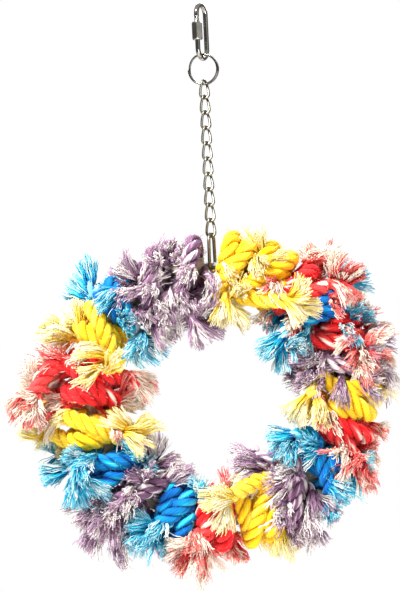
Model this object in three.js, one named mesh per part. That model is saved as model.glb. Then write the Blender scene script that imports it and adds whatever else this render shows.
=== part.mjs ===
// A hanging bird toy: a quick link, a split ring and a twisted chain carry a hoop
// that is tied all round with short cotton ropes.
// Millimetres, Z up, front towards -Y. The origin is the inside top of the quick link, where the toy hangs.
import * as THREE from 'three';

// Driving dimensions
const fitGap = 0.3;

const linkWire = 3.2;
const linkInnerLength = 31.6;
const linkInnerWidth = 9.5;
const linkYaw = 63;
const nutLength = 11.5;
const nutAcrossFlats = 6.4;
const nutTurn = 25;
const nutDrop = 10;
const nutGrip = 1.3;
const nutTravel = 5.2;

const ringWire = 1.4;
const ringMeanRadius = 9.7;
const ringTurnGap = 0.45;
const ringYaw = -18;

const chainWire = 1.7;
const chainPitch = 10;
const chainInnerWidth = 3.8;
const chainCount = 10;

const hangerWire = 2.2;
const hangerInnerWidth = 8;
const hangerLength = 24.9;
const hangerYaw = 68;

const hoopRadius = 82;
const hoopWire = 5;
const hoopSegments = 48;
const sleeveDiameter = 11.5;

const ropeDiameter = 10;
const ropeSides = 6;
const turnStep = 36;
const windingRoom = 0.8;
const laneRoom = 0.9;
const frayWidth = 21;
const frayThickness = 10;
const frayRings = 2;
const tailSteps = 5;

// Worked-out sizes
const linkRadius = (linkInnerWidth + linkWire) / 2;
const linkTop = linkWire / 2;
const linkBottom = -linkInnerLength - linkWire / 2;
const ringCentre = -linkInnerLength + fitGap + ringWire / 2 - ringMeanRadius;
const ringTurnPitch = ringWire + ringTurnGap;
const chainLength = chainPitch + chainWire + fitGap;
const chainTop = ringCentre - ringMeanRadius + chainInnerWidth / 2 + chainWire / 2;
const chainBottom = chainTop - (chainCount - 1) * chainPitch - chainLength;
const hangerTop = chainBottom + chainWire / 2 + fitGap + hangerWire / 2;
const hangerBottom = hangerTop - hangerLength;
const hoopDrop = hoopRadius - hoopWire / 2 - fitGap - hangerWire / 2 - hangerBottom;
const ropeRadius = ropeDiameter / 2;
const windingRadius = sleeveDiameter / 2 + windingRoom + ropeRadius;
const lanePitch = ropeDiameter + laneRoom;

const radians = THREE.MathUtils.degToRad;
const vector = (x, y, z) => new THREE.Vector3(x, y, z);
const smooth = (amount) => THREE.MathUtils.smoothstep(amount, 0, 1);

const nickel = new THREE.MeshStandardMaterial({ color: '#c9ccd0', metalness: 1, roughness: 0.25 });
const steel = new THREE.MeshStandardMaterial({ color: '#8d9094', metalness: 1, roughness: 0.4 });
const undyed = new THREE.MeshStandardMaterial({ color: '#efe6cf', roughness: 0.9 });
const dyes = {
  yellow: new THREE.MeshStandardMaterial({ color: '#ffd60f', roughness: 0.9 }),
  red: new THREE.MeshStandardMaterial({ color: '#e0202c', roughness: 0.9 }),
  blue: new THREE.MeshStandardMaterial({ color: '#0f74d6', roughness: 0.9 }),
  purple: new THREE.MeshStandardMaterial({ color: '#94659a', roughness: 0.9 }),
};

const toy = new THREE.Group();

function addPiece(name, geometry, material) {
  const piece = new THREE.Mesh(geometry, material);
  piece.name = name;
  toy.add(piece);
}

// A bar along points, closed at both ends. sectionAt gives each section's two half widths,
// and the first one turns towards startSide and endSide at the ends.
function bar(points, sectionAt, sides, startSide, endSide) {
  const last = points.length - 1;
  const along = points.map((point, i) => {
    const before = points[Math.max(i - 1, 0)];
    const after = points[Math.min(i + 1, last)];
    return after.clone().sub(before).normalize();
  });
  const spokes = [vector(0.31, 0.87, 0.38).cross(along[0]).normalize()];
  for (let i = 1; i <= last; i += 1) {
    const turn = new THREE.Quaternion().setFromUnitVectors(along[i - 1], along[i]);
    spokes.push(spokes[i - 1].clone().applyQuaternion(turn));
  }
  const twistTo = (i, side) => {
    if (!side) return 0;
    const across = along[i].clone().cross(spokes[i]);
    const half = Math.atan2(side.dot(across), side.dot(spokes[i]));
    return half - Math.PI * Math.round(half / Math.PI);
  };
  const startTwist = twistTo(0, startSide);
  const endTwist = twistTo(last, endSide);
  const corners = [];
  points.forEach((point, i) => {
    const twist = startTwist + ((endTwist - startTwist) * i) / last;
    const [wide, thin] = sectionAt(i);
    const across = along[i].clone().cross(spokes[i]);
    for (let k = 0; k < sides; k += 1) {
      const turn = (2 * Math.PI * k) / sides;
      const u = wide * Math.cos(turn);
      const v = thin * Math.sin(turn);
      const corner = point.clone().addScaledVector(spokes[i], u * Math.cos(twist) - v * Math.sin(twist));
      corners.push(corner.addScaledVector(across, u * Math.sin(twist) + v * Math.cos(twist)));
    }
  });
  const faces = [];
  for (let i = 0; i < last; i += 1) {
    for (let k = 0; k < sides; k += 1) {
      const a = i * sides + k;
      const b = i * sides + ((k + 1) % sides);
      faces.push(a, b, b + sides, a, b + sides, a + sides);
    }
  }
  const end = last * sides;
  for (let k = 1; k + 1 < sides; k += 1) {
    faces.push(0, k + 1, k, end, end + k, end + k + 1);
  }
  const geometry = new THREE.BufferGeometry().setFromPoints(corners);
  geometry.setIndex(faces);
  return geometry;
}

const round = (radius) => () => [radius, radius];

// The least clear distance between stretches of one wire or rope that lie apart along it
function leastSelfGap(points, diameter) {
  let least = Infinity;
  const travelled = [0];
  for (let i = 1; i < points.length; i += 1) {
    travelled.push(travelled[i - 1] + points[i].distanceTo(points[i - 1]));
  }
  for (let i = 0; i < points.length; i += 1) {
    for (let j = i + 1; j < points.length; j += 1) {
      if (travelled[j] - travelled[i] > 3 * diameter) {
        least = Math.min(least, points[i].distanceTo(points[j]) - diameter);
      }
    }
  }
  return least;
}

// Quick link: a wire oval with a gap in one leg, which a hexagonal nut closes
function linkPoint(across, height) {
  return vector(across, 0, height).applyAxisAngle(vector(0, 0, 1), radians(linkYaw));
}

function quickLinkPath() {
  const topBend = linkTop - linkRadius;
  const bottomBend = linkBottom + linkRadius;
  const lowerEnd = -nutDrop - nutLength + nutGrip;
  const upperEnd = -nutDrop - nutLength + nutTravel;
  const points = [linkPoint(-linkRadius, upperEnd)];
  const addBend = (turn, height) => {
    const angle = radians(turn);
    points.push(linkPoint(linkRadius * Math.cos(angle), height + linkRadius * Math.sin(angle)));
  };
  for (let turn = 180; turn >= 0; turn -= 22.5) addBend(turn, topBend);
  for (let turn = 0; turn >= -180; turn -= 22.5) addBend(turn, bottomBend);
  points.push(linkPoint(-linkRadius, lowerEnd));
  return points;
}

function nutGeometry() {
  const outline = new THREE.Shape();
  const corner = nutAcrossFlats / Math.sqrt(3);
  for (let k = 0; k < 6; k += 1) {
    const angle = radians(60 * k + nutTurn);
    outline.lineTo(corner * Math.cos(angle), corner * Math.sin(angle));
  }
  outline.curves.shift();
  outline.closePath();
  const bore = new THREE.Path();
  bore.absarc(0, 0, linkWire / 2 + fitGap, 0, 2 * Math.PI, true);
  outline.holes.push(bore);
  const geometry = new THREE.ExtrudeGeometry(outline, {
    depth: nutLength,
    bevelEnabled: false,
    curveSegments: 8,
  });
  const leg = linkPoint(-linkRadius, -nutDrop - nutLength);
  geometry.translate(leg.x, leg.y, leg.z);
  return geometry;
}

addPiece('quick_link_body', bar(quickLinkPath(), round(linkWire / 2), 10), nickel);
addPiece('quick_link_nut', nutGeometry(), nickel);

// Split ring: one wire in two flat turns with a step between them
function splitRingPath() {
  const points = [];
  for (let turned = 0; turned <= 655; turned += 10) {
    const stepped = smooth((turned - 295) / 60) - 0.5;
    const angle = radians(turned + 180);
    const point = vector(Math.cos(angle), 0, Math.sin(angle)).multiplyScalar(ringMeanRadius);
    point.y = ringTurnPitch * stepped;
    point.applyAxisAngle(vector(0, 0, 1), radians(ringYaw));
    points.push(point.add(vector(0, 0, ringCentre)));
  }
  return points;
}

const splitRing = splitRingPath();
console.log('split ring least gap', leastSelfGap(splitRing, ringWire).toFixed(2));
const ringPoints = splitRing.filter((point, i) => i % 2 === 0 || i === splitRing.length - 1);
addPiece('split_ring', bar(ringPoints, round(ringWire / 2), 6), nickel);

// A long wire link whose plane turns from one yaw at the top to another at the bottom
function wireLink(top, bottom, wire, innerWidth, topYaw, bottomYaw) {
  const bend = (innerWidth + wire) / 2;
  const length = top - bottom;
  const points = [];
  const addPoint = (across, height) => {
    const share = (height - bottom) / length;
    const yaw = radians(bottomYaw + (topYaw - bottomYaw) * share);
    points.push(vector(across, 0, height).applyAxisAngle(vector(0, 0, 1), yaw));
  };
  for (let turn = 180; turn >= 0; turn -= 30) {
    addPoint(bend * Math.cos(radians(turn)), top - bend + bend * Math.sin(radians(turn)));
  }
  const leg = length - 2 * bend;
  addPoint(bend, bottom + bend + (2 * leg) / 3);
  addPoint(bend, bottom + bend + leg / 3);
  for (let turn = 0; turn >= -180; turn -= 30) {
    addPoint(bend * Math.cos(radians(turn)), bottom + bend + bend * Math.sin(radians(turn)));
  }
  addPoint(-bend, bottom + bend + leg / 3);
  addPoint(-bend, bottom + bend + (2 * leg) / 3);
  return new THREE.TubeGeometry(new THREE.CatmullRomCurve3(points, true), 24, wire / 2, 6, true);
}

for (let n = 0; n < chainCount; n += 1) {
  const top = chainTop - n * chainPitch;
  const name = `chain_link_${String(n + 1).padStart(2, '0')}`;
  addPiece(name, wireLink(top, top - chainLength, chainWire, chainInnerWidth, ringYaw + 90, ringYaw), nickel);
}
const hanger = wireLink(hangerTop, hangerBottom, hangerWire, hangerInnerWidth, ringYaw + 90, hangerYaw);
addPiece('hanger_link', hanger, nickel);

// Hoop: a welded steel wire ring in a cotton sleeve, which leaves the wire bare under the hanger link
function hoopPoint(degrees, radius, front) {
  const angle = radians(degrees);
  return vector(radius * Math.sin(angle), -front, radius * Math.cos(angle) - hoopDrop);
}

const hoopStep = 360 / hoopSegments;
const hoopGeometry = new THREE.TorusGeometry(hoopRadius, hoopWire / 2, 8, hoopSegments);
hoopGeometry.rotateZ(radians(90 + hoopStep / 2));
hoopGeometry.rotateX(radians(90));
hoopGeometry.translate(0, 0, -hoopDrop);
addPiece('hoop_wire', hoopGeometry, steel);

function sleeveGeometry() {
  const section = new THREE.Shape();
  section.absarc(0, 0, sleeveDiameter / 2, 0, 2 * Math.PI, false);
  const bore = new THREE.Path();
  bore.absarc(0, 0, hoopWire / 2 + fitGap, 0, 2 * Math.PI, true);
  section.holes.push(bore);
  const arc = [];
  for (let n = 0; n < hoopSegments; n += 1) {
    arc.push(hoopPoint(hoopStep * (n + 0.5), hoopRadius, 0));
  }
  const path = new THREE.CurvePath();
  for (let n = 0; n + 1 < arc.length; n += 1) {
    path.add(new THREE.LineCurve3(arc[n], arc[n + 1]));
  }
  return new THREE.ExtrudeGeometry(section, {
    steps: hoopSegments - 1,
    curveSegments: 8,
    extrudePath: path,
    bevelEnabled: false,
  });
}

addPiece('hoop_sleeve', sleeveGeometry(), undyed);

// Ropes: each is wound on the sleeve, crosses over its own turns at the front and leaves two frayed tails.
// at: place on the hoop in degrees clockwise from the hanger, seen from the front
// begin, turns: where the winding starts, in degrees round the sleeve from its front, and its number of turns
// over: whether the crossing leaves towards the middle of the hoop or away from it
// first, second: where each tail ends, as degrees on the hoop, then distances outward from the hoop wire
// and to the front in rope diameters
const ropes = {
  yellow_1: { at: 11, begin: 180, turns: 2, over: 'in', first: [7, -2.2, -1.3], second: [19, -2.6, 3.2] },
  yellow_2: { at: 26, begin: 0, turns: 2, over: 'in', first: [21, 1.4, 2.8], second: [46, 0, 4.4] },
  red_1: { at: 42.5, begin: 180, turns: 2, over: 'out', first: [36.5, 3.3, -1.3], second: [48, 3.4, 2.6] },
  blue_1: { at: 56, begin: 0, turns: 1, over: 'in', first: [51, 3, -1], second: [63.5, -3.3, 3.4] },
  red_2: { at: 68, begin: 180, turns: 2, over: 'out', first: [64, 3, -1.6], second: [72, 1.4, 3.8] },
  purple_1: { at: 81.5, begin: 0, turns: 1, over: 'in', first: [76.5, 2.6, -1.5], second: [77.5, -3, 2.3] },
  yellow_3: { at: 95.5, begin: 0, turns: 2, over: 'in', first: [91, 2.2, 0.6], second: [108, -2.2, 3.4] },
  red_3: { at: 112, begin: 180, turns: 2, over: 'out', first: [114, 2.4, -1], second: [122, 1.6, 3.4] },
  blue_2: { at: 129, begin: 0, turns: 2, over: 'in', first: [125, 2.4, 0.4], second: [136, -3.2, 3.2] },
  purple_2: { at: 147, begin: 0, turns: 2, over: 'in', first: [142.5, 1.9, 1.3], second: [168, -3.2, 2] },
  yellow_4: { at: 165, begin: 0, turns: 2, over: 'in', first: [160, 2.4, 0.4], second: [186, -1, 4.2] },
  red_4: { at: 184, begin: 180, turns: 2, over: 'out', first: [184, 3, -0.8], second: [196, 2.8, 2.6] },
  blue_3: { at: 202, begin: 180, turns: 2, over: 'out', first: [204, 2.5, -1.2], second: [212, 1.8, 3.2] },
  purple_3: { at: 220, begin: 180, turns: 2, over: 'out', first: [232, 4.2, -1.2], second: [221, 2.8, 3.2] },
  blue_4: { at: 239, begin: 180, turns: 2, over: 'out', first: [250, 4, -0.6], second: [237, 2.2, 3.8] },
  yellow_5: { at: 258, begin: 0, turns: 2, over: 'in', first: [263, 3.9, -1], second: [255, -2.4, 3.2] },
  red_5: { at: 276, begin: 0, turns: 2, over: 'out', first: [273, -3.4, 0.4], second: [266.5, 4.3, 3] },
  yellow_6: { at: 301, begin: 0, turns: 2, over: 'in', first: [297, 3, 0.6], second: [287.5, 0, 4.4] },
  blue_5: { at: 316, begin: 0, turns: 1, over: 'in', first: [311.3, 3, -1.2], second: [306, -3, 2.8] },
  purple_4: { at: 332, begin: 0, turns: 2, over: 'in', first: [326.5, 1.2, 2.8], second: [328, -3.2, 2.8] },
  purple_5: { at: 349.7, begin: 180, turns: 2, over: 'in', first: [345, -2.3, -1.3], second: [360, -4, 2.8] },
};

function tailEnd([degrees, outward, front]) {
  return hoopPoint(degrees, hoopRadius + outward * ropeDiameter, front * ropeDiameter);
}

// The route of one rope: first tail, winding, second tail
function ropeRoute(rope) {
  const centre = hoopPoint(rope.at, hoopRadius, 0);
  const way = rope.over === 'in' ? 1 : -1;
  const along = hoopPoint(rope.at + 90, way, 0).sub(hoopPoint(0, 0, 0));
  const inward = hoopPoint(rope.at, -way, 0).sub(hoopPoint(0, 0, 0));
  const front = vector(0, -1, 0);
  const middle = (rope.begin / 360 + rope.turns) / 2 - 0.1;
  const climbing = 360 * rope.turns - 110;
  const winding = [];
  for (let turned = rope.begin; turned <= 360 * rope.turns + turnStep; turned += turnStep) {
    const lane = Math.min(turned, climbing) / 360 - middle;
    const shift = smooth((turned - climbing - 60) / 110) * (rope.turns - rope.begin / 360 + 0.1);
    const reach = windingRadius + smooth((turned - climbing) / 80) * lanePitch;
    const point = centre.clone().addScaledVector(along, (lane - shift) * lanePitch);
    point.addScaledVector(front, reach * Math.cos(radians(turned)));
    winding.push(point.addScaledVector(inward, reach * Math.sin(radians(turned))));
  }
  const firstTail = tail(winding[0], winding[1], tailEnd(rope.first));
  const secondTail = tail(winding[winding.length - 1], winding[winding.length - 2], tailEnd(rope.second));
  return [...firstTail.reverse(), ...winding, ...secondTail];
}

// A tail leaves the winding straight and bends over to its end
function tail(exit, before, end) {
  const reach = exit.distanceTo(end) * 0.4;
  const leaving = exit.clone().sub(before).normalize();
  const curve = new THREE.QuadraticBezierCurve3(exit, exit.clone().addScaledVector(leaving, reach), end);
  return curve.getPoints(tailSteps).slice(1);
}

// Direction along the hoop at a place on it
function alongHoop(degrees) {
  return hoopPoint(degrees + 90, 1, 0).sub(hoopPoint(0, 0, 0));
}

let ropeGap = Infinity;
function addRope(name, route, first, second) {
  ropeGap = Math.min(ropeGap, leastSelfGap(route, ropeDiameter));
  const sectionAt = (i) => {
    const stepsFromEnd = Math.min(i, route.length - 1 - i);
    const open = Math.max(0, 1 - stepsFromEnd / frayRings);
    const wide = ropeRadius + open * (frayWidth / 2 - ropeRadius);
    const thin = ropeRadius + open * (frayThickness / 2 - ropeRadius);
    return [wide, thin];
  };
  const solid = bar(route, sectionAt, ropeSides, alongHoop(first[0]), alongHoop(second[0]));
  addPiece(`rope_${name}`, solid, dyes[name.split('_')[0]]);
}
for (const [name, rope] of Object.entries(ropes)) {
  addRope(name, ropeRoute(rope), rope.first, rope.second);
}
console.log('rope least gap to itself', ropeGap.toFixed(2));

export default toy;
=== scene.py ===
import math

import bpy
import numpy as np
from mathutils import Matrix


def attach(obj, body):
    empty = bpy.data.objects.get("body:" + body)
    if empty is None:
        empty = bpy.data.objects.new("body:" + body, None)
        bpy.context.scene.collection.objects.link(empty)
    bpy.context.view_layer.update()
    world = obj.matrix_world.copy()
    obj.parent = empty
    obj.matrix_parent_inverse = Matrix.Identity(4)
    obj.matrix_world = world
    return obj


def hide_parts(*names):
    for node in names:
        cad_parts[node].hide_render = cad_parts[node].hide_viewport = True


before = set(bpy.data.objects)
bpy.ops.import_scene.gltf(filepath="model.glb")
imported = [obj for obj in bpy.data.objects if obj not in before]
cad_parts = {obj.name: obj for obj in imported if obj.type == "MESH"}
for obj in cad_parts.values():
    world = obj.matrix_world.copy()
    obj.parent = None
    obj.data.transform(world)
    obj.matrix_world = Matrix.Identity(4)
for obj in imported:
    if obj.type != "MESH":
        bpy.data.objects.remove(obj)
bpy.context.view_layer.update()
scene = bpy.context.scene

# Driving dimensions, the same as the solids
fit_gap = 0.0003

link_wire = 0.0032
link_inner_length = 0.0316
link_inner_width = 0.0095
link_yaw = 63
nut_length = 0.0115
nut_across_flats = 0.0064
nut_turn = 25
nut_drop = 0.010
nut_grip = 0.0013
nut_travel = 0.0052

ring_wire = 0.0014
ring_mean_radius = 0.0097
ring_turn_gap = 0.00045
ring_yaw = -18

chain_wire = 0.0017
chain_pitch = 0.010
chain_inner_width = 0.0038
chain_count = 10

hanger_wire = 0.0022
hanger_inner_width = 0.008
hanger_length = 0.0249
hanger_yaw = 68

hoop_radius = 0.082
hoop_wire = 0.005
sleeve_diameter = 0.0115
sleeve_gap = 3.75

rope_diameter = 0.010
winding_room = 0.0008
lane_room = 0.0009

# Metal: the screw thread, the nut's chamfers, the winding of the split ring and the steps of the bends
thread_pitch = 0.0008
thread_depth = 0.00022
thread_step = 0.00018
thread_below_bend = 0.0012
thread_run_out = 0.0006
quick_link_bend_step = 5
quick_link_sides = 24
hexagon_angle = 60
nut_chamfer = 0.0010
nut_chamfer_steps = (0, 0.35, 0.7, 1, 1.4)
nut_face_share = 0.93
nut_chamfer_slope = 0.75
nut_bore_lip = 0.0003
nut_sides = 72
ring_wound = 656
ring_aside_from = 295
ring_aside_over = 60
ring_step = 4
ring_sides = 14
chain_bend_step = 15
chain_leg_steps = 8
chain_sides = 16
wire_edge_angle = 50
nut_edge_angle = 25

# Sleeve: a fine braid
sleeve_steps = 420
sleeve_sides = 24
braid_depth = 0.0003
braid_fade = 0.3

# Rope: three twisted strands of yarn, with painted shade in the creases between the strands and in the
# grooves between the yarns, and with streaks where the dye did not reach
rope_step = 0.0011
strand_count = 3
strand_radius = 0.0027
strand_offset = 0.0031
strand_lay = 0.0225
flute_lay = 0.016
painted_groove_shade = 0.80
painted_crease_shade = 0.45
painted_crease_from = -0.5
painted_crease_blend = 0.9
yarn_fade_most = 0.14
undyed_fade = 0.75
undyed_from = -1.5
undyed_blend = 1.5
# Length of a wave of streaks along a strand and how often it goes round it
streak_waves = [(0.019, 1), (0.031, 2), (0.053, 1)]
streak_phase_most = 6
streak_from = 1.25
streak_blend = 0.9
random_seed = 100

# Ends of a rope: the strands open, part, grow thin and fade
open_length = 0.022
open_thinning = 0.3
parting_reach = 0.004
parting_share = (0.2, 1.0)
parting_scatter = 0.15
ageing_length = 0.07
ageing_fade = 0.1
end_steps = 4
brush_root = 0.010

# Brushes of loose yarns in locks. A pair is the least and the most of a chance value.
locks_per_strand = 9
yarns_per_strand = 120
yarns_per_loose_strand = 90
yarn_length = 0.0185
yarn_steps = 9
yarn_sides = 3
yarn_radius = 0.00038
yarn_thickness = (0.75, 1.2)
yarn_taper = 0.35
brush_spread = 0.24
brush_width = 1.25
brush_depth = 0.8
golden_ratio = 1.618
lock_spread = 0.12
lock_scatter = 0.22
yarn_spread = 0.035
stray_share = 0.06
stray_reach = (0.7, 1.10)
stray_bend = 1.3
lock_reach = (0.90, 1.06)
yarn_reach = (0.94, 1.04)
brush_bend = 0.14
lock_bend = 0.08
yarn_bend = 0.03
yarn_droop = 0.12
wave_length = (0.0075, 0.0110)
wave_scatter = 0.5
crimp_reach = (0.00025, 0.00060)
root_spread = 0.85
root_depth = 0.004
back_reach = 0.025
back_pressing = 0.75
lock_pale_share = 0.85
dyed_yarn_fade = (0.15, 0.50)
pale_yarn_fade = (0.75, 1.0)
tip_fade = (0.5, 1.2)
tip_fade_from = 0.2
root_fade = 0.5
root_fade_reach = 1 / 3
lock_shade = (0.80, 1.08)
yarn_shade = (0.93, 1.07)
# Painted shade at the roots of the yarns of a brush: how dark it is there and how far along the yarn it
# reaches
painted_root_shade = 0.65
painted_root_shade_reach = 1 / 2

# Single fibres that stand out of the strands
fuzz_per_metre = 650
fuzz_radius = 0.00013
fuzz_length = 0.0035
fuzz_reach = (0.5, 1.2)
fuzz_lean = 1.2
fuzz_scatter = 0.3
fuzz_root = 0.9
fuzz_rise = 0.6
fuzz_arch = 0.25
fuzz_fade = (0.2, 0.7)

# One bight of the knot at the front of a winding: degrees round the hoop wire from its front towards
# the side where the crossing leaves, place along the hoop in rope lanes, reach in rope diameters.
# The other bight is its mirror image.
bight = [
    (125, 0.05, 1.20),
    (95, 0.30, 1.60),
    (62, 0.48, 1.98),
    (30, 0.60, 2.15),
    (2, 0.72, 1.85),
    (-24, 0.72, 1.30),
    (-48, 0.65, 1.00),
]
bight_room = 0.0066
bight_tilt = 0.10
bight_turn = 6
bight_scatter = 0.04
# A spare turn that closes the wide gap beside a knot: its rope lanes at its two ends
spare_turns = {"red_5": (-1.45, -1.95)}
spare_start = -45
# Loose strands at each knot: degrees round the hoop wire from its front through its outside,
# place along the hoop in rope lanes, reach from the hoop wire, length of the brush
# and how shaggy a rope has to be to show it; on the shaggiest ropes they hide the knot
shaggy = 3
loose_strands = [
    (20, 1.1, 0.026, 0.018, 2),
    (55, 1.0, 0.024, 0.015, 2),
    (75, -1.0, 0.022, 0.013, 1),
    (88, 1.2, 0.021, 0.013, 2),
    (105, 0.3, 0.019, 0.012, 1),
    (130, -0.8, 0.018, 0.011, 2),
    (180, 0.9, 0.016, 0.008, 1),
    (225, -0.8, 0.017, 0.009, 1),
    (265, 0.7, 0.018, 0.012, 1),
    (300, -1.0, 0.024, 0.016, 2),
    (335, -1.1, 0.026, 0.018, 2),
    (0, 0.2, 0.026, 0.017, 3),
    (35, -0.5, 0.026, 0.018, 3),
    (60, 0.1, 0.028, 0.018, 3),
    (280, 0.2, 0.026, 0.018, 3),
    (305, 0.5, 0.026, 0.018, 3),
    (325, -0.3, 0.026, 0.018, 3),
]
# More of them, longer on the left, where the ropes stand further apart, and at the hanger
long_strands = {
    "purple_3": [(70, 0.2, 0.036, 0.019), (95, 0.9, 0.038, 0.020)],
    "blue_4": [(85, 0.9, 0.032, 0.018)],
    "yellow_5": [(78, 1.2, 0.034, 0.018), (86, 0.2, 0.022, 0.017), (35, 0.8, 0.020, 0.015)],
    "purple_5": [(-20, 0.85, 0.024, 0.016)],
    "yellow_1": [(-15, -0.85, 0.022, 0.014)],
    "red_5": [
        (60, 1.2, 0.028, 0.018),
        (85, 1.5, 0.032, 0.019),
        (72, -1.4, 0.036, 0.019),
        (85, -0.1, 0.021, 0.018),
        (50, -0.7, 0.024, 0.019),
    ],
    "yellow_6": [(80, -1.4, 0.028, 0.018)],
}
loose_step = 0.0012
loose_turn = 9
loose_lean = 0.3
loose_sway = 0.0015
loose_thickness = 0.9
# No loose strand stands above the hoop this near to the hanger
hanger_room = 0.014
# From this place on the hoop round to that one the wreath is flat on the outside:
# a strand that points outward by more than this share is short there, and so is its brush
flat_from = 308
flat_to = 390
flat_side = 0.5
flat_reach = 0.0175
flat_brush = 0.009
# pale: share of undyed yarns in a brush, tips: fading towards the tips of the yarns, curl: waviness,
# streaks: undyed streaks on the strands, ends: fading of the strands towards their ends,
# shag: how many loose strands stand out of the knot, yarns: how many yarns show round a strand,
# grooves: depth of the grooves between them as a share of its radius, undyed: share of undyed yarns
dye_looks = {
    "yellow": {"pale": 0.20, "tips": 0.60, "curl": 0.7, "streaks": 0.25, "ends": 0.30, "shag": 1,
               "yarns": 8, "grooves": 0.08, "undyed": 0},
    "red": {"pale": 0.56, "tips": 0.34, "curl": 1.6, "streaks": 0.85, "ends": 0.25, "shag": 2,
            "yarns": 8, "grooves": 0.08, "undyed": 0},
    "blue": {"pale": 0.15, "tips": 0.42, "curl": 1.1, "streaks": 0.45, "ends": 0.55, "shag": 2,
             "yarns": 8, "grooves": 0.08, "undyed": 0},
    "purple": {"pale": 0.42, "tips": 0.32, "curl": 1.35, "streaks": 0.80, "ends": 0.45, "shag": 3,
               "yarns": 13, "grooves": 0.17, "undyed": 0.38},
}

# Worked-out sizes
link_radius = (link_inner_width + link_wire) / 2
link_top = link_wire / 2
link_bottom = -link_inner_length - link_wire / 2
ring_centre = -link_inner_length + fit_gap + ring_wire / 2 - ring_mean_radius
ring_turn_pitch = ring_wire + ring_turn_gap
chain_length = chain_pitch + chain_wire + fit_gap
chain_top = ring_centre - ring_mean_radius + chain_inner_width / 2 + chain_wire / 2
chain_bottom = chain_top - (chain_count - 1) * chain_pitch - chain_length
hanger_top = chain_bottom + chain_wire / 2 + fit_gap + hanger_wire / 2
hanger_bottom = hanger_top - hanger_length
hoop_drop = hoop_radius - hoop_wire / 2 - fit_gap - hanger_wire / 2 - hanger_bottom
winding_radius = sleeve_diameter / 2 + winding_room + rope_diameter / 2
lane_pitch = rope_diameter + lane_room

# Camera: level with the middle of the toy, straight in front, with the slight lean of the photograph
photo_height = 592
metres_per_pixel = 0.00065
camera_distance = 1.5
camera_lean = math.radians(2.65)
camera_sensor = 24
view_centre = (-0.009, 0, -0.1874)

camera_data = bpy.data.cameras.new("camera")
camera_data.sensor_fit = "VERTICAL"
camera_data.sensor_height = camera_sensor
camera_data.lens = camera_sensor * camera_distance / (photo_height * metres_per_pixel)
camera = bpy.data.objects.new("camera", camera_data)
lean_cos = math.cos(camera_lean)
lean_sin = math.sin(camera_lean)
camera.matrix_world = Matrix((
    (lean_cos, lean_sin, 0, view_centre[0]),
    (0, 0, -1, view_centre[1] - camera_distance),
    (-lean_sin, lean_cos, 0, view_centre[2]),
    (0, 0, 0, 1),
))
scene.collection.objects.link(camera)
scene.camera = camera
scene.view_settings.view_transform = "Standard"


# Material helpers
def new_material(name):
    material = bpy.data.materials.new(name)
    material.use_nodes = True
    tree = material.node_tree
    return material, tree, tree.nodes["Principled BSDF"]


def noise_node(tree, scale, detail):
    place = tree.nodes.new("ShaderNodeTexCoord")
    noise = tree.nodes.new("ShaderNodeTexNoise")
    noise.inputs["Scale"].default_value = scale
    noise.inputs["Detail"].default_value = detail
    tree.links.new(place.outputs["Object"], noise.inputs["Vector"])
    return noise.outputs["Fac"]


def attribute_node(tree, name):
    attribute = tree.nodes.new("ShaderNodeAttribute")
    attribute.attribute_name = name
    return attribute.outputs["Fac"]


# stops: position and colour of each stop, from the first to the last
def colour_ramp(tree, factor, stops):
    ramp = tree.nodes.new("ShaderNodeValToRGB")
    elements = ramp.color_ramp.elements
    for position, _ in stops[1:-1]:
        elements.new(position)
    for element, (position, colour) in zip(elements, stops):
        element.position = position
        element.color = (*colour, 1)
    tree.links.new(factor, ramp.inputs["Fac"])
    return ramp.outputs["Color"]


def spread_node(tree, value, least, most, low=0, high=1):
    spread = tree.nodes.new("ShaderNodeMapRange")
    spread.inputs["From Min"].default_value = low
    spread.inputs["From Max"].default_value = high
    spread.inputs["To Min"].default_value = least
    spread.inputs["To Max"].default_value = most
    tree.links.new(value, spread.inputs["Value"])
    return spread.outputs["Result"]


# first and second are numbers or outputs of other nodes
def math_node(tree, operation, first, second):
    node = tree.nodes.new("ShaderNodeMath")
    node.operation = operation
    for socket, value in zip(node.inputs, (first, second)):
        if isinstance(value, bpy.types.NodeSocket):
            tree.links.new(value, socket)
        else:
            socket.default_value = value
    return node.outputs["Value"]


def bump_node(tree, shader, height, strength, distance):
    bump = tree.nodes.new("ShaderNodeBump")
    bump.inputs["Strength"].default_value = strength
    bump.inputs["Distance"].default_value = distance
    tree.links.new(height, bump.inputs["Height"])
    tree.links.new(bump.outputs["Normal"], shader.inputs["Normal"])


# Metal: tarnish makes it darker in places, fine wear makes it rougher
def metal(name, dark, light, smoothest, roughest):
    material, tree, shader = new_material(name)
    shader.inputs["Metallic"].default_value = 1
    tarnish = noise_node(tree, scale=160, detail=3)
    tone = colour_ramp(tree, tarnish, [(0.35, dark), (0.65, light)])
    tree.links.new(tone, shader.inputs["Base Color"])
    wear = noise_node(tree, scale=1500, detail=2)
    roughness = spread_node(tree, wear, smoothest, roughest)
    tree.links.new(roughness, shader.inputs["Roughness"])
    bump_node(tree, shader, wear, strength=0.01, distance=0.00005)
    return material
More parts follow.
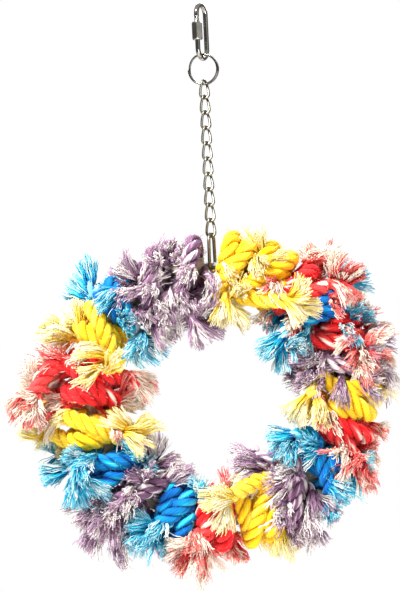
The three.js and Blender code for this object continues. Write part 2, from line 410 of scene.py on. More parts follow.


# Cotton goes by its fade number from the rope's own colour through the paler frayed colour
# to undyed yarn. Its shade number, random tone and painted shade together, and the mottle of the fibres
# deepen the colour and darken it; the deepening is painted bounce light in the shade.
def cotton(name, rope_colour, fray_colour, pale_colour):
    material, tree, shader = new_material(name)
    shader.inputs["Roughness"].default_value = 0.92
    shader.inputs["Specular IOR Level"].default_value = 0.2
    shader.inputs["Sheen Weight"].default_value = 0.06
    shader.inputs["Sheen Roughness"].default_value = 0.5
    fade = attribute_node(tree, "fade")
    dye = colour_ramp(tree, fade, [(0, rope_colour), (0.5, fray_colour), (1, pale_colour)])
    fibres = noise_node(tree, scale=2400, detail=3)
    mottle = spread_node(tree, fibres, 0.86, 1.08, low=0.3, high=0.7)
    shade = math_node(tree, "MULTIPLY", attribute_node(tree, "shade"), mottle)
    # Painted bounce light and painted shade: a low shade number makes the colour deeper and more
    # saturated, then darker
    deepened_in_painted_shade = tree.nodes.new("ShaderNodeGamma")
    tree.links.new(dye, deepened_in_painted_shade.inputs["Color"])
    tree.links.new(math_node(tree, "DIVIDE", 1, shade), deepened_in_painted_shade.inputs["Gamma"])
    darkened_by_tone_and_painted_shade = tree.nodes.new("ShaderNodeVectorMath")
    darkened_by_tone_and_painted_shade.operation = "SCALE"
    tree.links.new(deepened_in_painted_shade.outputs["Color"], darkened_by_tone_and_painted_shade.inputs[0])
    tree.links.new(math_node(tree, "POWER", shade, 0.5), darkened_by_tone_and_painted_shade.inputs["Scale"])
    tree.links.new(darkened_by_tone_and_painted_shade.outputs["Vector"], shader.inputs["Base Color"])
    bump_node(tree, shader, fibres, strength=0.5, distance=0.0004)
    return material


nickel = metal("nickel", (0.31, 0.297, 0.262), (0.42, 0.40, 0.355), 0.08, 0.13)
chain_nickel = metal("chain_nickel", (0.175, 0.162, 0.13), (0.28, 0.26, 0.21), 0.32, 0.44)
ring_nickel = metal("ring_nickel", (0.113, 0.107, 0.093), (0.20, 0.19, 0.167), 0.14, 0.22)
steel = metal("steel_wire", (0.22, 0.22, 0.23), (0.36, 0.36, 0.37), 0.30, 0.50)
# The sleeve's undyed cotton tone is darkened with painted shade, so that it shows as shade in the gaps
# between the ropes
undyed = cotton("undyed_cotton", (0.40, 0.33, 0.24), (0.50, 0.43, 0.33), (0.62, 0.55, 0.44))
dyes = {
    "yellow": cotton("yellow_cotton", (1.00, 0.66, 0.004), (1.00, 0.79, 0.16), (1.00, 0.91, 0.66)),
    "red": cotton("red_cotton", (0.84, 0.014, 0.024), (0.92, 0.165, 0.15), (0.97, 0.85, 0.72)),
    "blue": cotton("blue_cotton", (0.001, 0.12, 0.46), (0.012, 0.52, 0.72), (0.84, 0.93, 0.91)),
    "purple": cotton("purple_cotton", (0.24, 0.115, 0.21), (0.43, 0.26, 0.385), (0.87, 0.80, 0.77)),
}

# Geometry helpers: directions from which the frames of lines and yarns start,
# and the steps between two points of a smooth line
line_start_side = (0.31, 0.87, 0.38)
yarn_start_side = (0.21, 0.55, 0.81)
curve_steps = 12


def smooth(amount):
    held = np.clip(amount, 0, 1)
    return held * held * (3 - 2 * held)


def turned_about_z(point, degrees):
    angle = math.radians(degrees)
    x = point[0] * math.cos(angle) - point[1] * math.sin(angle)
    y = point[0] * math.sin(angle) + point[1] * math.cos(angle)
    return np.array((x, y, point[2]))


def unit(vectors):
    return vectors / np.linalg.norm(vectors, axis=-1, keepdims=True)


def angles_round(sides):
    return np.linspace(0, 2 * math.pi, sides, endpoint=False)


# A smooth line through points, cut into equal steps
def smooth_line(points, step):
    points = np.array(points)
    padded = np.vstack((2 * points[0] - points[1], points, 2 * points[-1] - points[-2]))
    dense = []
    for n in range(len(points) - 1):
        p0, p1, p2, p3 = padded[n:n + 4]
        for t in np.linspace(0, 1, curve_steps, endpoint=False):
            cubic = (3 * p1 - p0 - 3 * p2 + p3) * t ** 3
            square = (2 * p0 - 5 * p1 + 4 * p2 - p3) * t ** 2
            dense.append(0.5 * (2 * p1 + (p2 - p0) * t + square + cubic))
    dense.append(points[-1])
    dense = np.array(dense)
    run = np.concatenate(([0], np.cumsum(np.linalg.norm(np.diff(dense, axis=0), axis=1))))
    marks = np.linspace(0, run[-1], max(2, int(round(run[-1] / step))) + 1)
    line = np.stack([np.interp(marks, run, dense[:, k]) for k in range(3)], axis=1)
    return line, marks


# Directions along a line and two directions across it that turn as little as possible
def line_frames(points, closed=False):
    if closed:
        along = unit(np.roll(points, -1, axis=0) - np.roll(points, 1, axis=0))
    else:
        along = unit(np.gradient(points, axis=0))
    side = np.cross(line_start_side, along[0])
    sides = []
    for direction in along:
        side = unit(side - direction * np.dot(side, direction))
        sides.append(side)
    sides = np.array(sides)
    across = np.cross(along, sides)
    if closed:
        end = sides[-1] - along[0] * np.dot(sides[-1], along[0])
        twist = math.atan2(np.dot(end, across[0]), np.dot(end, sides[0]))
        back = -twist * np.arange(len(points))[:, None] / len(points)
        sides = sides * np.cos(back) + across * np.sin(back)
        across = np.cross(along, sides)
    return along, sides, across


# A mesh that is put together from tubes, with a fade and a shade number at each point; the shade number
# holds random tone and painted shade
class Shape:
    def __init__(self):
        self.points = []
        self.faces = []
        self.fades = []
        self.shades = []
        self.count = 0

    # rings: tubes x rings x corners x 3; a tube that isn't closed on itself gets a face at each end
    def add_tubes(self, rings, fade=0.0, shade=1.0, closed=False):
        tubes, steps, sides, _ = rings.shape
        numbers = self.count + np.arange(tubes * steps * sides).reshape(tubes, steps, sides)
        if closed:
            near = numbers
            far = np.roll(numbers, -1, axis=1)
        else:
            near = numbers[:, :-1]
            far = numbers[:, 1:]
        quads = np.stack((near, np.roll(near, -1, axis=2), np.roll(far, -1, axis=2), far), axis=-1)
        self.faces.extend(quads.reshape(-1, 4).tolist())
        if not closed:
            self.faces.extend(numbers[:, 0, ::-1].tolist())
            self.faces.extend(numbers[:, -1].tolist())
        self.points.append(rings.reshape(-1, 3))
        self.fades.append(np.broadcast_to(fade, rings.shape[:3]).reshape(-1))
        self.shades.append(np.broadcast_to(shade, rings.shape[:3]).reshape(-1))
        self.count += tubes * steps * sides

    def piece(self, name, material, edge_angle=None):
        mesh = bpy.data.meshes.new(name)
        mesh.from_pydata(np.concatenate(self.points).tolist(), [], self.faces)
        mesh.shade_smooth()
        if edge_angle is not None:
            mesh.set_sharp_from_angle(angle=math.radians(edge_angle))
        for label, values in (("fade", self.fades), ("shade", self.shades)):
            layer = mesh.attributes.new(label, "FLOAT", "POINT")
            layer.data.foreach_set("value", np.concatenate(values).astype(np.float32))
        mesh.materials.append(material)
        piece = bpy.data.objects.new(name, mesh)
        scene.collection.objects.link(piece)
        return piece


# Rings of a tube along one line; radii may change along it and round it
def tube_rings(points, radii, sides, closed=False):
    _, side, across = line_frames(points, closed)
    angles = angles_round(sides)[None, :, None]
    spokes = side[:, None] * np.cos(angles) + across[:, None] * np.sin(angles)
    radii = np.broadcast_to(radii, (len(points), sides))
    return points[:, None] + spokes * radii[:, :, None]


# Rings round an upright axis: each has a radius, or one for each side, and a height above the foot
def upright_rings(foot, profile, sides):
    angles = angles_round(sides)
    rings = np.zeros((1, len(profile), sides, 3))
    for ring, (radius, height) in zip(rings[0], profile):
        ring[:, 0] = foot[0] + radius * np.cos(angles)
        ring[:, 1] = foot[1] + radius * np.sin(angles)
        ring[:, 2] = foot[2] + height
    return rings


# A half-round bend of a wire, clockwise from the start angle, as places across and heights
def wire_bend(radius, height, start, step):
    bend = []
    for turned in range(0, 181, step):
        angle = math.radians(start - turned)
        bend.append((radius * math.cos(angle), height + radius * math.sin(angle)))
    return bend


def put(piece, body, node):
    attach(piece, body)
    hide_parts(node)


# Quick link with a screw thread on its upper end
def link_point(across, height):
    return turned_about_z((across, 0, height), link_yaw)


# How deep the thread cuts into the wire at each height and side; it runs out below the bend
def thread_cuts(heights, thread_top):
    depths = thread_depth * smooth((thread_top - heights) / thread_run_out)
    turns = 2 * math.pi * heights / thread_pitch
    waves = 0.5 + 0.5 * np.cos(turns[:, None] + angles_round(quick_link_sides)[None, :])
    return depths[:, None] * waves


def quick_link():
    top_bend = link_top - link_radius
    bottom_bend = link_bottom + link_radius
    upper_end = -nut_drop - nut_length + nut_travel
    lower_end = -nut_drop - nut_length + nut_grip
    thread_heights = np.arange(upper_end, top_bend, thread_step)
    outline = [(-link_radius, height) for height in thread_heights]
    outline += wire_bend(link_radius, top_bend, 180, quick_link_bend_step)
    outline += wire_bend(link_radius, bottom_bend, 0, quick_link_bend_step)
    outline.append((-link_radius, lower_end))
    points = np.array([link_point(across, height) for across, height in outline])
    radii = np.full((len(points), quick_link_sides), link_wire / 2)
    radii[:len(thread_heights)] -= thread_cuts(thread_heights, top_bend - thread_below_bend)
    shape = Shape()
    shape.add_tubes(tube_rings(points, radii, quick_link_sides)[None])
    return shape.piece("quick_link", nickel, wire_edge_angle)


# Hexagonal nut: flat sides, chamfered corners and a bore
def quick_link_nut():
    apothem = nut_across_flats / 2
    bore = link_wire / 2 + fit_gap
    degrees = np.degrees(angles_round(nut_sides))
    from_flat = np.mod(degrees - nut_turn, hexagon_angle) - hexagon_angle / 2
    hexagon = apothem / np.cos(np.radians(from_flat))
    heights = [nut_chamfer * share for share in nut_chamfer_steps]
    heights += [nut_length - height for height in reversed(heights)]
    profile = []
    for height in heights:
        from_face = min(height, nut_length - height)
        cone = apothem * nut_face_share + from_face * nut_chamfer_slope
        profile.append((np.minimum(hexagon, cone), height))
    profile.append((bore + nut_bore_lip, nut_length))
    profile.append((bore, nut_length - nut_bore_lip))
    profile.append((bore, nut_bore_lip))
    profile.append((bore + nut_bore_lip, 0))
    foot = link_point(-link_radius, -nut_drop - nut_length)
    shape = Shape()
    shape.add_tubes(upright_rings(foot, profile, nut_sides), closed=True)
    return shape.piece("link_nut", nickel, nut_edge_angle)


# Split ring: one wire in two flat turns with a step between them
def split_ring():
    points = []
    for wound in range(0, ring_wound, ring_step):
        aside = float(smooth((wound - ring_aside_from) / ring_aside_over)) - 0.5
        angle = math.radians(wound + 180)
        x = ring_mean_radius * math.cos(angle)
        z = ring_mean_radius * math.sin(angle)
        points.append(turned_about_z((x, ring_turn_pitch * aside, ring_centre + z), ring_yaw))
    shape = Shape()
    shape.add_tubes(tube_rings(np.array(points), ring_wire / 2, ring_sides)[None])
    return shape.piece("key_ring", ring_nickel, wire_edge_angle)


# A wire link whose plane turns from one yaw at the top to another at the bottom
def wire_link(name, top, bottom, wire, inner_width, top_yaw, bottom_yaw):
    bend = (inner_width + wire) / 2
    length = top - bottom
    leg = length - 2 * bend
    leg_marks = [leg * n / chain_leg_steps for n in range(1, chain_leg_steps)]
    outline = wire_bend(bend, top - bend, 180, chain_bend_step)
    outline += [(bend, top - bend - mark) for mark in leg_marks]
    outline += wire_bend(bend, bottom + bend, 0, chain_bend_step)
    outline += [(-bend, bottom + bend + mark) for mark in leg_marks]
    points = []
    for across, height in outline:
        yaw = bottom_yaw + (top_yaw - bottom_yaw) * (height - bottom) / length
        points.append(turned_about_z((across, 0, height), yaw))
    rings = tube_rings(np.array(points), wire / 2, chain_sides, closed=True)
    shape = Shape()
    shape.add_tubes(rings[None], closed=True)
    return shape.piece(name, chain_nickel)


put(quick_link(), "quick_link", "quick_link_body")
put(quick_link_nut(), "nut", "quick_link_nut")
put(split_ring(), "split_ring", "split_ring")
for n in range(chain_count):
    number = f"{n + 1:02d}"
    top = chain_top - n * chain_pitch
    bottom = top - chain_length
    link = wire_link(
        f"twisted_link_{number}", top, bottom, chain_wire, chain_inner_width, ring_yaw + 90, ring_yaw
    )
    put(link, f"link_{number}", f"chain_link_{number}")
hanger = wire_link(
    "hanger", hanger_top, hanger_bottom, hanger_wire, hanger_inner_width, ring_yaw + 90, hanger_yaw
)
put(hanger, "hanger", "hanger_link")


# Hoop: the steel wire keeps its solid, the sleeve is a cotton braid darkened with painted shade
def hoop_point(degrees, radius, front):
    angle = math.radians(degrees)
    return np.array((radius * math.sin(angle), -front, radius * math.cos(angle) - hoop_drop))


# The direction from the middle of the hoop to a place on it
def hoop_direction(degrees):
    return hoop_point(degrees, 1, 0) - hoop_point(0, 0, 0)


def sleeve():
    places = np.linspace(sleeve_gap, 360 - sleeve_gap, sleeve_steps)
    points = np.array([hoop_point(degrees, hoop_radius, 0) for degrees in places])
    turn = np.arange(sleeve_sides)[None, :] * math.pi / 2
    climb = np.arange(sleeve_steps)[:, None] * math.pi / 4
    braid = np.sin(turn + climb) * np.sin(turn - climb)
    radii = sleeve_diameter / 2 + braid_depth * (braid - 1)
    shape = Shape()
    shape.add_tubes(tube_rings(points, radii, sleeve_sides)[None], fade=braid_fade * (1 + braid))
    return shape.piece("cotton_sleeve", undyed)


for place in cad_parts["hoop_wire"].material_slots:
    place.material = steel
put(sleeve(), "hoop", "hoop_sleeve")

# Ropes: each is wound on the sleeve, crosses over its own turns at the front and leaves two frayed tails.
# Name, at, begin, turns, over, first tail end, second tail end:
# at is the place on the hoop in degrees clockwise from the hanger, begin and turns give the winding,
# over is the side to which the crossing leaves,
# and a tail ends at degrees on the hoop, outward and to the front in rope diameters
ropes = [
    ("yellow_1", 11, 180, 2, "in", (7, -2.2, -1.3), (19, -2.6, 3.2)),
    ("yellow_2", 26, 0, 2, "in", (21, 1.4, 2.8), (46, 0, 4.4)),
    ("red_1", 42.5, 180, 2, "out", (36.5, 3.3, -1.3), (48, 3.4, 2.6)),
    ("blue_1", 56, 0, 1, "in", (51, 3, -1), (63.5, -3.3, 3.4)),
    ("red_2", 68, 180, 2, "out", (64, 3, -1.6), (72, 1.4, 3.8)),
    ("purple_1", 81.5, 0, 1, "in", (76.5, 2.6, -1.5), (77.5, -3, 2.3)),
    ("yellow_3", 95.5, 0, 2, "in", (91, 2.2, 0.6), (108, -2.2, 3.4)),
    ("red_3", 112, 180, 2, "out", (114, 2.4, -1), (122, 1.6, 3.4)),
    ("blue_2", 129, 0, 2, "in", (125, 2.4, 0.4), (136, -3.2, 3.2)),
    ("purple_2", 147, 0, 2, "in", (142.5, 1.9, 1.3), (168, -3.2, 2)),
    ("yellow_4", 165, 0, 2, "in", (160, 2.4, 0.4), (186, -1, 4.2)),
    ("red_4", 184, 180, 2, "out", (184, 3, -0.8), (196, 2.8, 2.6)),
    ("blue_3", 202, 180, 2, "out", (204, 2.5, -1.2), (212, 1.8, 3.2)),
    ("purple_3", 220, 180, 2, "out", (232, 4.2, -1.2), (221, 2.8, 3.2)),
    ("blue_4", 239, 180, 2, "out", (250, 4, -0.6), (237, 2.2, 3.8)),
    ("yellow_5", 258, 0, 2, "in", (263, 3.9, -1), (255, -2.4, 3.2)),
    ("red_5", 276, 0, 2, "out", (273, -3.4, 0.4), (266.5, 4.3, 3)),
    ("yellow_6", 301, 0, 2, "in", (297, 3, 0.6), (287.5, 0, 4.4)),
    ("blue_5", 316, 0, 1, "in", (311.3, 3, -1.2), (306, -3, 2.8)),
    ("purple_4", 332, 0, 2, "in", (326.5, 1.2, 2.8), (328, -3.2, 2.8)),
    ("purple_5", 349.7, 180, 2, "in", (345, -2.3, -1.3), (360, -4, 2.8)),
]
turn_step = 36
tail_steps = 5
tail_handle = 0.4
# The crossing begins this many degrees before the last turn ends, and moves back over the turns
# in as many; it rises on to them, starts to move after a delay and goes a little past them, in lanes
crossing_length = 110
crossing_rise = 80
crossing_delay = 60
crossing_past = 0.1


def tail_end(degrees, outward, front):
    return hoop_point(degrees, hoop_radius + outward * rope_diameter, front * rope_diameter)


# A tail leaves the winding straight and bends over to its end
def tail(exit_point, before, end):
    reach = tail_handle * np.linalg.norm(exit_point - end)
    handle = exit_point + unit(exit_point - before) * reach
    shares = [n / tail_steps for n in range(1, tail_steps + 1)]
    return [exit_point * (1 - t) ** 2 + handle * 2 * t * (1 - t) + end * t ** 2 for t in shares]


# A place at a knot: degrees round the hoop wire from its front, rope lane along the hoop
# and reach from the wire
def knot_point(at, over, degrees, lane, reach):
    way = 1 if over == "in" else -1
    along = hoop_direction(at + 90) * way
    inward = hoop_direction(at) * -way
    angle = math.radians(degrees)
    away = np.array((0, -math.cos(angle), 0)) + inward * math.sin(angle)
    return hoop_point(at, hoop_radius, 0) + along * lane * lane_pitch + away * reach


# The route of one rope: first tail, winding, second tail
def rope_route(at, begin, turns, over, first, second):
    lanes = turns - begin / 360
    middle = (begin / 360 + turns) / 2 - crossing_past
    crossing = 360 * turns - crossing_length
    winding = []
    for turned in range(begin, 360 * turns + turn_step + 1, turn_step):
        lane = min(turned, crossing) / 360 - middle
        moved = smooth((turned - crossing - crossing_delay) / crossing_length)
        risen = smooth((turned - crossing) / crossing_rise)
        lane = lane - moved * (lanes + crossing_past)
        winding.append(knot_point(at, over, turned, lane, winding_radius + risen * lane_pitch))
    first_tail = tail(winding[0], winding[1], tail_end(*first))
    second_tail = tail(winding[-1], winding[-2], tail_end(*second))
    return first_tail[::-1] + winding + second_tail


# How far along a yarn each of its rings is
yarn_marks = np.linspace(0, 1, yarn_steps)[None, :, None]


# Directions from the middle of thin yarns to their corners, for many yarns at once
def yarn_spokes(paths):
    along = unit(np.gradient(paths, axis=1))
    side = unit(np.cross(along, yarn_start_side))
    across = np.cross(along, side)
    corners = angles_round(yarn_sides)[None, None, :, None]
    return np.cos(corners) * side[:, :, None] + np.sin(corners) * across[:, :, None]


# Chance values for the yarns of a brush: one that all yarns of a lock share, or one for each yarn
def lock_chance(chance, lock, least, most):
    return chance.uniform(least, most, (locks_per_strand, 1))[lock]


def yarn_chance(chance, lock, least, most):
    return chance.uniform(least, most, (len(lock), 1))


# The paths of the yarns of a brush: they start side by side, point away in locks, bend over and wave
def brush_paths(chance, look, root, direction, length, side, lock):
    across = np.cross(direction, side)
    every_lock = (locks_per_strand, 3)
    every_yarn = (len(lock), 3)

    order = np.arange(locks_per_strand)[:, None]
    angle = 2 * math.pi * order / locks_per_strand * golden_ratio
    away = np.sqrt((order + 0.5) / locks_per_strand)
    place = (brush_width * side * np.cos(angle) + brush_depth * across * np.sin(angle)) * away
    offset = place[lock] + chance.normal(0, lock_scatter, every_yarn)
    start = root + offset * strand_radius * root_spread - direction * root_depth

    lock_aim = chance.normal(0, lock_spread, every_lock)
    aim = direction + brush_spread * offset + lock_aim[lock] + chance.normal(0, yarn_spread, every_yarn)
    stray = yarn_chance(chance, lock, 0, 1) < stray_share
    reach = length * lock_chance(chance, lock, *lock_reach) * yarn_chance(chance, lock, *yarn_reach)
    reach = np.where(stray, reach * yarn_chance(chance, lock, *stray_reach), reach)

    bend = chance.normal(0, brush_bend, 3) + chance.normal(0, lock_bend, every_lock) * look["curl"]
    bend = bend[lock] - np.array((0, 0, yarn_droop))
    bend = bend + chance.normal(0, yarn_bend, every_yarn) * look["curl"]
    bend = bend - direction * (bend @ direction)[:, None]
    bend = np.where(stray, bend * stray_bend, bend)

    waves = reach / lock_chance(chance, lock, *wave_length)
    phase = lock_chance(chance, lock, 0, 2 * math.pi) + chance.normal(0, wave_scatter, (len(lock), 1))
    swing = (2 * math.pi * waves)[:, None] * yarn_marks + phase[:, None]
    crimp = look["curl"] * yarn_chance(chance, lock, *crimp_reach)[:, None] * np.sqrt(yarn_marks)

    paths = start[:, None] + (unit(aim) * reach)[:, None] * yarn_marks
    paths = paths + (bend * reach)[:, None] * yarn_marks ** 2
    paths = paths + crimp * (np.sin(swing) * side + np.cos(swing) * across)
    paths[:, :, 1] -= back_pressing * np.maximum(paths[:, :, 1] - back_reach, 0)
    return paths


# How the dye of each yarn of a brush fades: some locks are undyed, and all fade towards their tips
def brush_fades(chance, look, lock):
    paleness = lock_pale_share * lock_chance(chance, lock, 0, 1)
    paleness = paleness + (1 - lock_pale_share) * yarn_chance(chance, lock, 0, 1)
    dyed = yarn_chance(chance, lock, *dyed_yarn_fade)
    own = np.where(paleness < look["pale"], yarn_chance(chance, lock, *pale_yarn_fade), dyed)
    roots = root_fade + (1 - root_fade) * smooth(yarn_marks / root_fade_reach)
    tips = look["tips"] * smooth((yarn_marks - tip_fade_from) / (1 - tip_fade_from))
    return np.clip(own[:, None] * roots + tips * yarn_chance(chance, lock, *tip_fade)[:, None], 0, 1)


# How dark each yarn of a brush is: a random tone for each lock and yarn, and painted shade that is
# darkest at its root
def brush_shades(chance, lock):
    shade = lock_chance(chance, lock, *lock_shade) * yarn_chance(chance, lock, *yarn_shade)
    return shade[:, None] * (painted_root_shade + (1 - painted_root_shade) * smooth(yarn_marks / painted_root_shade_reach))


# Loose yarns that spread like a brush from the end of a strand, held together in locks
def add_brush(shape, chance, look, root, direction, length, count):
    side = unit(np.cross(direction, chance.normal(0, 1, 3)))
    lock = chance.integers(0, locks_per_strand, count)
    paths = brush_paths(chance, look, root, direction, length, side, lock)
    thickness = yarn_chance(chance, lock, *yarn_thickness)[:, None]
    radii = yarn_radius * (1 - yarn_taper * yarn_marks ** 2) * thickness
    rings = paths[:, :, None] + yarn_spokes(paths) * radii[:, :, :, None]
    fades = brush_fades(chance, look, lock)
    shades = brush_shades(chance, lock)
    shape.add_tubes(rings, fades, shades)


# One twisted strand of yarns along a path; inward points to the crease at the middle of its rope, where
# painted shade darkens the strand
def add_strand(shape, chance, look, path, run, radius, fade, inward=None):
    _, side, across = line_frames(path)
    yarns = look["yarns"]
    angles = angles_round(2 * yarns)
    flutes = 1 + look["grooves"] * (np.cos(yarns * angles) - 1)
    twist = angles[None, :] - (2 * math.pi * run / flute_lay)[:, None]
    ring = side[:, None] * np.cos(twist)[:, :, None] + across[:, None] * np.sin(twist)[:, :, None]
    rings = path[:, None] + ring * (radius[:, None] * flutes[None, :])[:, :, None]
    wave = np.zeros(twist.shape)
    for size, around in streak_waves:
        cycles = run / size + chance.uniform(0, 1)
        phase = chance.uniform(0, streak_phase_most)
        wave = wave + np.sin(2 * math.pi * cycles[:, None] + around * twist + phase)
    pale = look["streaks"] * smooth((wave - streak_from) / streak_blend)
    yarn_fade = np.repeat(chance.uniform(0, yarn_fade_most, yarns), 2)
    undyed_yarns = yarn_fade > yarn_fade_most * (1 - look["undyed"])
    pale = pale + undyed_fade * undyed_yarns[None, :] * smooth((wave - undyed_from) / undyed_blend)
    fades = np.clip(yarn_fade[None, :] + fade[:, None] + pale, 0, 1)
    # Painted shade in the grooves between the yarns of a strand
    grooves = np.where(np.arange(2 * yarns) % 2 == 0, 1, painted_groove_shade)
    shades = np.broadcast_to(grooves, fades.shape)
    # Painted shade: the strand is darkest where it faces the crease at the middle of its rope
    if inward is not None:
        facing = np.sum(ring * inward[:, None], axis=2)
        shades = shades * (1 - painted_crease_shade * smooth((facing - painted_crease_from) / painted_crease_blend))
    shape.add_tubes(rings[None], fades[None], shades[None])
    add_fuzz(shape, chance, path, run, radius)


# Single fibres that stand out of the surface of a strand
def add_fuzz(shape, chance, path, run, radius):
    count = int(fuzz_per_metre * run[-1])
    per_fibre = (count, 1)
    place = chance.integers(0, len(path), count)
    along, side, across = line_frames(path)
    angle = chance.uniform(0, 2 * math.pi, per_fibre)
    away = side[place] * np.cos(angle) + across[place] * np.sin(angle)
    lean = along[place] * chance.uniform(-fuzz_lean, fuzz_lean, per_fibre)
    lean = lean + chance.normal(0, fuzz_scatter, (count, 3))
    reach = fuzz_length * chance.uniform(*fuzz_reach, per_fibre)
    root = path[place] + away * radius[place][:, None] * fuzz_root
    tip = root + unit(away * fuzz_rise + lean) * reach
    middle = (root + tip) / 2 + away * reach * fuzz_arch
    fibres = np.stack((root, middle, tip), axis=1)
    rings = fibres[:, :, None] + yarn_spokes(fibres) * fuzz_radius
    shape.add_tubes(rings, chance.uniform(*fuzz_fade, per_fibre)[:, None])


# Whether the wreath is flat on the outside at a place on the hoop
def is_flat(at):
    return flat_from < at < flat_to or flat_from < at + 360 < flat_to


# Strands that have come out of the lay between the turns of a knot, frayed at their ends
def add_loose_strands(shape, chance, look, name, at):
    centre = hoop_point(at, hoop_radius, 0)
    outward = hoop_direction(at)
    along = hoop_direction(at + 90)
    front = np.array((0, -1, 0))
    shown = [strand[:4] for strand in loose_strands if strand[4] <= look["shag"]]
    for round_hoop, beside, reach, brush in shown + long_strands.get(name, []):
        if is_flat(at) and math.sin(math.radians(round_hoop)) > flat_side:
            reach = min(reach, flat_reach)
            brush = min(brush, flat_brush)
        angle = math.radians(round_hoop + chance.normal(0, loose_turn))
        away = front * math.cos(angle) + outward * math.sin(angle)
        lean = along * chance.normal(0, loose_lean)
        root = centre + along * beside * lane_pitch + away * sleeve_diameter / 2
        tip = root + (away + lean) * (reach - sleeve_diameter / 2)
        middle = (root + tip) / 2 + along * chance.normal(0, loose_sway)
        if abs(tip[0]) < hanger_room and tip[2] > hoop_radius - hoop_drop:
            continue
        path, run = smooth_line([root, middle, tip], loose_step)
        radius = np.full(len(path), strand_radius * loose_thickness)
        add_strand(shape, chance, look, path, run, radius, look["ends"] * run / run[-1])
        add_brush(shape, chance, look, tip, unit(tip - middle), brush, yarns_per_loose_strand)


# The route of every rope and the bights that are in place, so that a bight can be kept clear of them
routes = {rope[0]: rope_route(*rope[1:]) for rope in ropes}
route_lines = {name: smooth_line(route, rope_diameter / 3)[0] for name, route in routes.items()}
placed_bights = []


# The bights of a knot that lie clear of the other ropes
def knot_bights(chance, name, at, over):
    others = [line for other, line in route_lines.items() if other != name]
    taken = np.vstack(others + placed_bights)
    bights = []
    for mirror in (1, -1):
        points = []
        tilt = chance.normal(0, bight_tilt)
        turn = chance.normal(0, bight_turn)
        for degrees, lane, reach in bight:
            slant = lane + tilt * degrees / 90
            height = (reach + chance.normal(0, bight_scatter)) * rope_diameter
            points.append(knot_point(at, over, mirror * degrees + turn, mirror * slant, height))
        line, run = smooth_line(points, rope_step)
        gaps = np.linalg.norm(line[:, None] - taken[None], axis=2)
        if gaps.min() > bight_room:
            bights.append((line, run))
    placed_bights.extend(line for line, run in bights)
    return bights


def spare_turn(name, at, over):
    start_lane, end_lane = spare_turns[name]
    points = []
    for turned in range(0, 361, turn_step):
        lane = start_lane + (end_lane - start_lane) * turned / 360
        points.append(knot_point(at, over, spare_start + turned, lane, winding_radius))
    return smooth_line(points, rope_step)


# Directions from the line of a rope to one of its strands, which winds round it
def strand_spokes(side, across, run, strand):
    turn = (2 * math.pi * (run / strand_lay + strand / strand_count))[:, None]
    return side * np.cos(turn) + across * np.sin(turn)


# A stretch of rope whose ends are hidden in its knot
def add_hidden_rope(shape, chance, look, line, run):
    _, side, across = line_frames(line)
    radius = np.full(len(line), strand_radius)
    for strand in range(strand_count):
        spokes = strand_spokes(side, across, run, strand)
        path = line + spokes * strand_offset
        add_strand(shape, chance, look, path, run, radius, np.zeros(len(line)), -spokes)


# The rope along its route: its strands open towards both ends and go over into brushes
def add_frayed_rope(shape, chance, look, route):
    line, run = smooth_line(route, rope_step)
    _, side, across = line_frames(line)
    length = run[-1]
    from_end = np.minimum(run, length - run)
    twisted = from_end > brush_root
    line = line[twisted]
    run = run[twisted]
    side = side[twisted]
    across = across[twisted]
    from_end = from_end[twisted] - brush_root
    opening = smooth(1 - from_end / open_length)
    radius = strand_radius * (1 - open_thinning * opening ** 3)
    fade = ageing_fade * smooth(1 - from_end / ageing_length) + look["ends"] * opening
    first_half = (run < length / 2)[:, None]
    for strand in range(strand_count):
        spokes = strand_spokes(side, across, run, strand)
        partings = []
        for end in (0, -1):
            share = chance.uniform(*parting_share)
            partings.append(spokes[end] * share + chance.normal(0, parting_scatter, 3))
        parting = np.where(first_half, *partings) * (parting_reach * opening ** 2)[:, None]
        path = line + spokes * strand_offset + parting
        add_strand(shape, chance, look, path, run, radius, fade, -spokes)
        for end, inner in ((0, end_steps), (-1, -1 - end_steps)):
            direction = unit(path[end] - path[inner])
            add_brush(shape, chance, look, path[end], direction, yarn_length, yarns_per_strand)


def tied_rope(index, name, at, over):
    chance = np.random.default_rng(random_seed + index)
    dye = name.split("_")[0]
    look = dye_looks[dye]
    shape = Shape()
    add_frayed_rope(shape, chance, look, routes[name])
    if name in spare_turns:
        add_hidden_rope(shape, chance, look, *spare_turn(name, at, over))
    if look["shag"] < shaggy:
        for line, run in knot_bights(chance, name, at, over):
            add_hidden_rope(shape, chance, look, line, run)
    add_loose_strands(shape, chance, look, name, at)
    return shape.piece(f"tied_{name}", dyes[dye])


for index, (name, at, _, _, over, _, _) in enumerate(ropes):
    put(tied_rope(index, name, at, over), "hoop", f"rope_{name}")

# Stage: a pale round floor below, with a chamfered rim
floor_profile = [(0.56, -0.46), (0.55, -0.45), (0.02, -0.45)]
floor_sides = 96
floor_edge_angle = 30
floor_grey = 0.86


def pale_floor():
    material, _, shader = new_material("pale_floor")
    shader.inputs["Base Color"].default_value = (floor_grey, floor_grey, floor_grey, 1)
    shader.inputs["Roughness"].default_value = 0.9
    shape = Shape()
    shape.add_tubes(upright_rings((0, 0, 0), floor_profile, floor_sides))
    return shape.piece("floor", material, floor_edge_angle)


pale_floor()

# Studio sky: its light comes from above and a little from below, darkest at the height of the eye,
# and it is plain white where it is seen itself
sky_stops = [(0.30, (0.42, 0.42, 0.42)), (0.52, (0.16, 0.16, 0.17)), (0.85, (1.0, 1.0, 1.0))]
sky_strength = 0.65


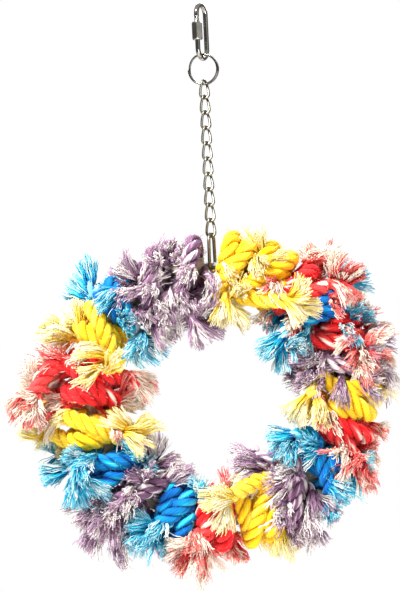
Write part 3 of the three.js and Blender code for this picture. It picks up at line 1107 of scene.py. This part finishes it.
def studio_sky():
    world = bpy.data.worlds.new("studio")
    world.use_nodes = True
    tree = world.node_tree
    tree.nodes.clear()
    place = tree.nodes.new("ShaderNodeTexCoord")
    split = tree.nodes.new("ShaderNodeSeparateXYZ")
    tree.links.new(place.outputs["Generated"], split.inputs["Vector"])
    height = spread_node(tree, split.outputs["Z"], 0, 1, low=-1)
    light = tree.nodes.new("ShaderNodeBackground")
    tree.links.new(colour_ramp(tree, height, sky_stops), light.inputs["Color"])
    light.inputs["Strength"].default_value = sky_strength
    white = tree.nodes.new("ShaderNodeBackground")
    white.inputs["Color"].default_value = (1, 1, 1, 1)
    ray = tree.nodes.new("ShaderNodeLightPath")
    mix = tree.nodes.new("ShaderNodeMixShader")
    tree.links.new(ray.outputs["Is Camera Ray"], mix.inputs["Fac"])
    tree.links.new(light.outputs["Background"], mix.inputs[1])
    tree.links.new(white.outputs["Background"], mix.inputs[2])
    result = tree.nodes.new("ShaderNodeOutputWorld")
    tree.links.new(mix.outputs["Shader"], result.inputs["Surface"])
    return world


scene.world = studio_sky()


# Soft light boxes: place, what they point at, width, height and power in watts
def soft_box(name, place, aim, width, height, power):
    data = bpy.data.lights.new(name, "AREA")
    data.shape = "RECTANGLE"
    data.size = width
    data.size_y = height
    data.energy = power
    box = bpy.data.objects.new(name, data)
    scene.collection.objects.link(box)
    back = unit(np.array(place) - np.array(aim))
    right = unit(np.cross((0, 0, 1), back))
    up = np.cross(back, right)
    box.matrix_world = Matrix((
        (right[0], up[0], back[0], place[0]),
        (right[1], up[1], back[1], place[1]),
        (right[2], up[2], back[2], place[2]),
        (0, 0, 0, 1),
    ))


wreath_middle = (0, 0, -hoop_drop)
hanging_point = (0, 0, 0)
soft_box("key_light", (-0.7, -1.1, 1.0), wreath_middle, 0.5, 0.5, 73)
soft_box("fill_light", (0.6, -1.4, -0.75), wreath_middle, 1.0, 1.0, 18)
soft_box("side_card", (1.0, -0.84, 0.13), hanging_point, 0.7, 0.7, 0.95)
soft_box("back_light", (0.3, 1.3, 0.6), wreath_middle, 1.2, 0.8, 28)
